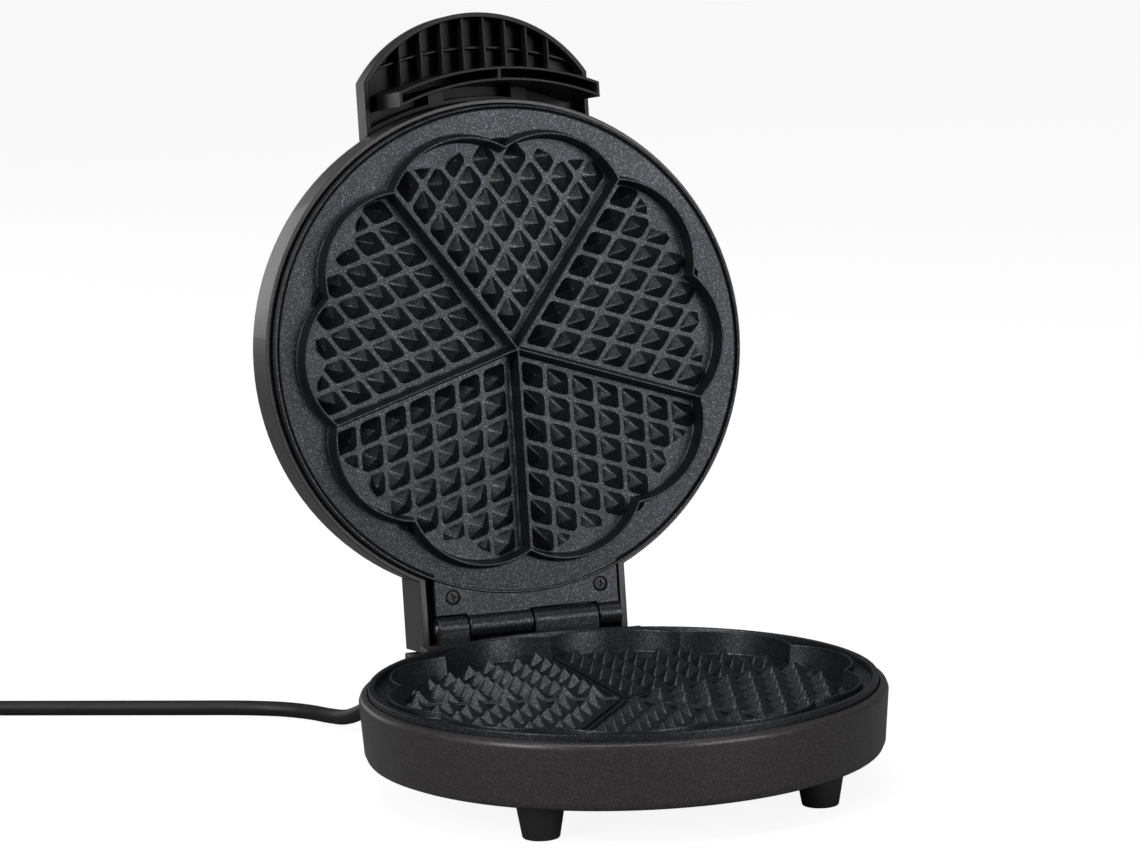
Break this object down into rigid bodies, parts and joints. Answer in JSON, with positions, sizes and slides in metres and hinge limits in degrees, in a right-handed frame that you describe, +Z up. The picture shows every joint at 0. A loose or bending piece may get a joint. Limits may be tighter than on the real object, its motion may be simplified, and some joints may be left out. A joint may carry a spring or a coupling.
{
  "type": "waffle maker",
  "caption": "Round heart waffle maker with hinged lid held open, pyramid-patterned baking plates, ribbed front handle, feet and a mains cord with plug.",
  "frame": {"origin": "middle of the appliance with its lid open, on the surface that the feet stand on (cord, coil and plug left out)", "axes": "+Z up; +Y from the handle side towards the hinge; +X to the right when facing the front"},
  "size_m": [0.4618, 0.405, 0.3242],
  "materials": {
    "housing_paint": "satin charcoal-brown metallic finish on the moulded housings",
    "plate_coating": "non-stick coating with fine blue-grey sparkle on cast aluminium",
    "black_plastic": "black moulded plastic, satin gloss",
    "foot_plastic": "black moulded plastic, fine matte",
    "cord_rubber": "matte black rubber sheath",
    "black_screw": "blackened steel",
    "bright_steel": "zinc-plated steel",
    "shield_steel": "aluminised sheet steel",
    "heater_sheath": "drawn sheath of the tubular heater",
    "ceramic_body": "steatite-coloured thermostat body",
    "fuse_body": "thermal fuse can",
    "terminal_plastic": "off-white terminal plastic",
    "wire_insulation": "heat-proof wire insulation",
    "tie_plastic": "black tie strap",
    "pin_nickel": "nickel-plated brass pins",
    "earth_brass": "brass earth strips",
    "red_lens": "translucent red lens",
    "green_lens": "translucent green lens",
    "board_laminate": "green circuit laminate"
  },
  "bodies": {
    "base": {"base_housing": "housing_paint", "bottom_cover": "black_plastic", "foot_front_left": "foot_plastic", "foot_front_right": "foot_plastic", "foot_rear_left": "foot_plastic", "foot_rear_right": "foot_plastic", "foot_screws": "bright_steel", "lower_plate": "plate_coating", "lower_tab_screws": "black_screw", "lower_shield_bolts": "bright_steel", "lower_heater": "heater_sheath", "lower_heat_shield": "shield_steel", "thermostat": "ceramic_body", "thermal_fuse": "fuse_body", "fuse_cradle": "shield_steel", "terminal_block": "terminal_plastic", "base_wires": "wire_insulation", "hinge_pin": "bright_steel", "cord_gland": "cord_rubber", "cord_clamp": "terminal_plastic", "mains_cord": "cord_rubber", "cord_coil": "cord_rubber", "cord_tail": "cord_rubber", "coil_tie": "tie_plastic", "plug_body": "black_plastic", "plug_pins": "pin_nickel", "plug_earth_strips": "earth_brass"},
    "lid": {"lid_housing": "housing_paint", "vent_ring": "black_plastic", "upper_plate": "plate_coating", "upper_tab_screws": "black_screw", "upper_shield_bolts": "bright_steel", "upper_heater": "heater_sheath", "upper_heat_shield": "shield_steel", "handle": "black_plastic", "handle_screws": "bright_steel", "power_lamp_lens": "red_lens", "ready_lamp_lens": "green_lens", "lamp_board": "board_laminate", "lid_wires": "wire_insulation"}
  },
  "joints": [
    {"name": "lid_hinge", "type": "hinge", "parent": "base", "child": "lid", "pos_m": [0, 0.0844, 0.0497], "axis": [1, 0, 0], "range_deg": [0, 96]}
  ]
}
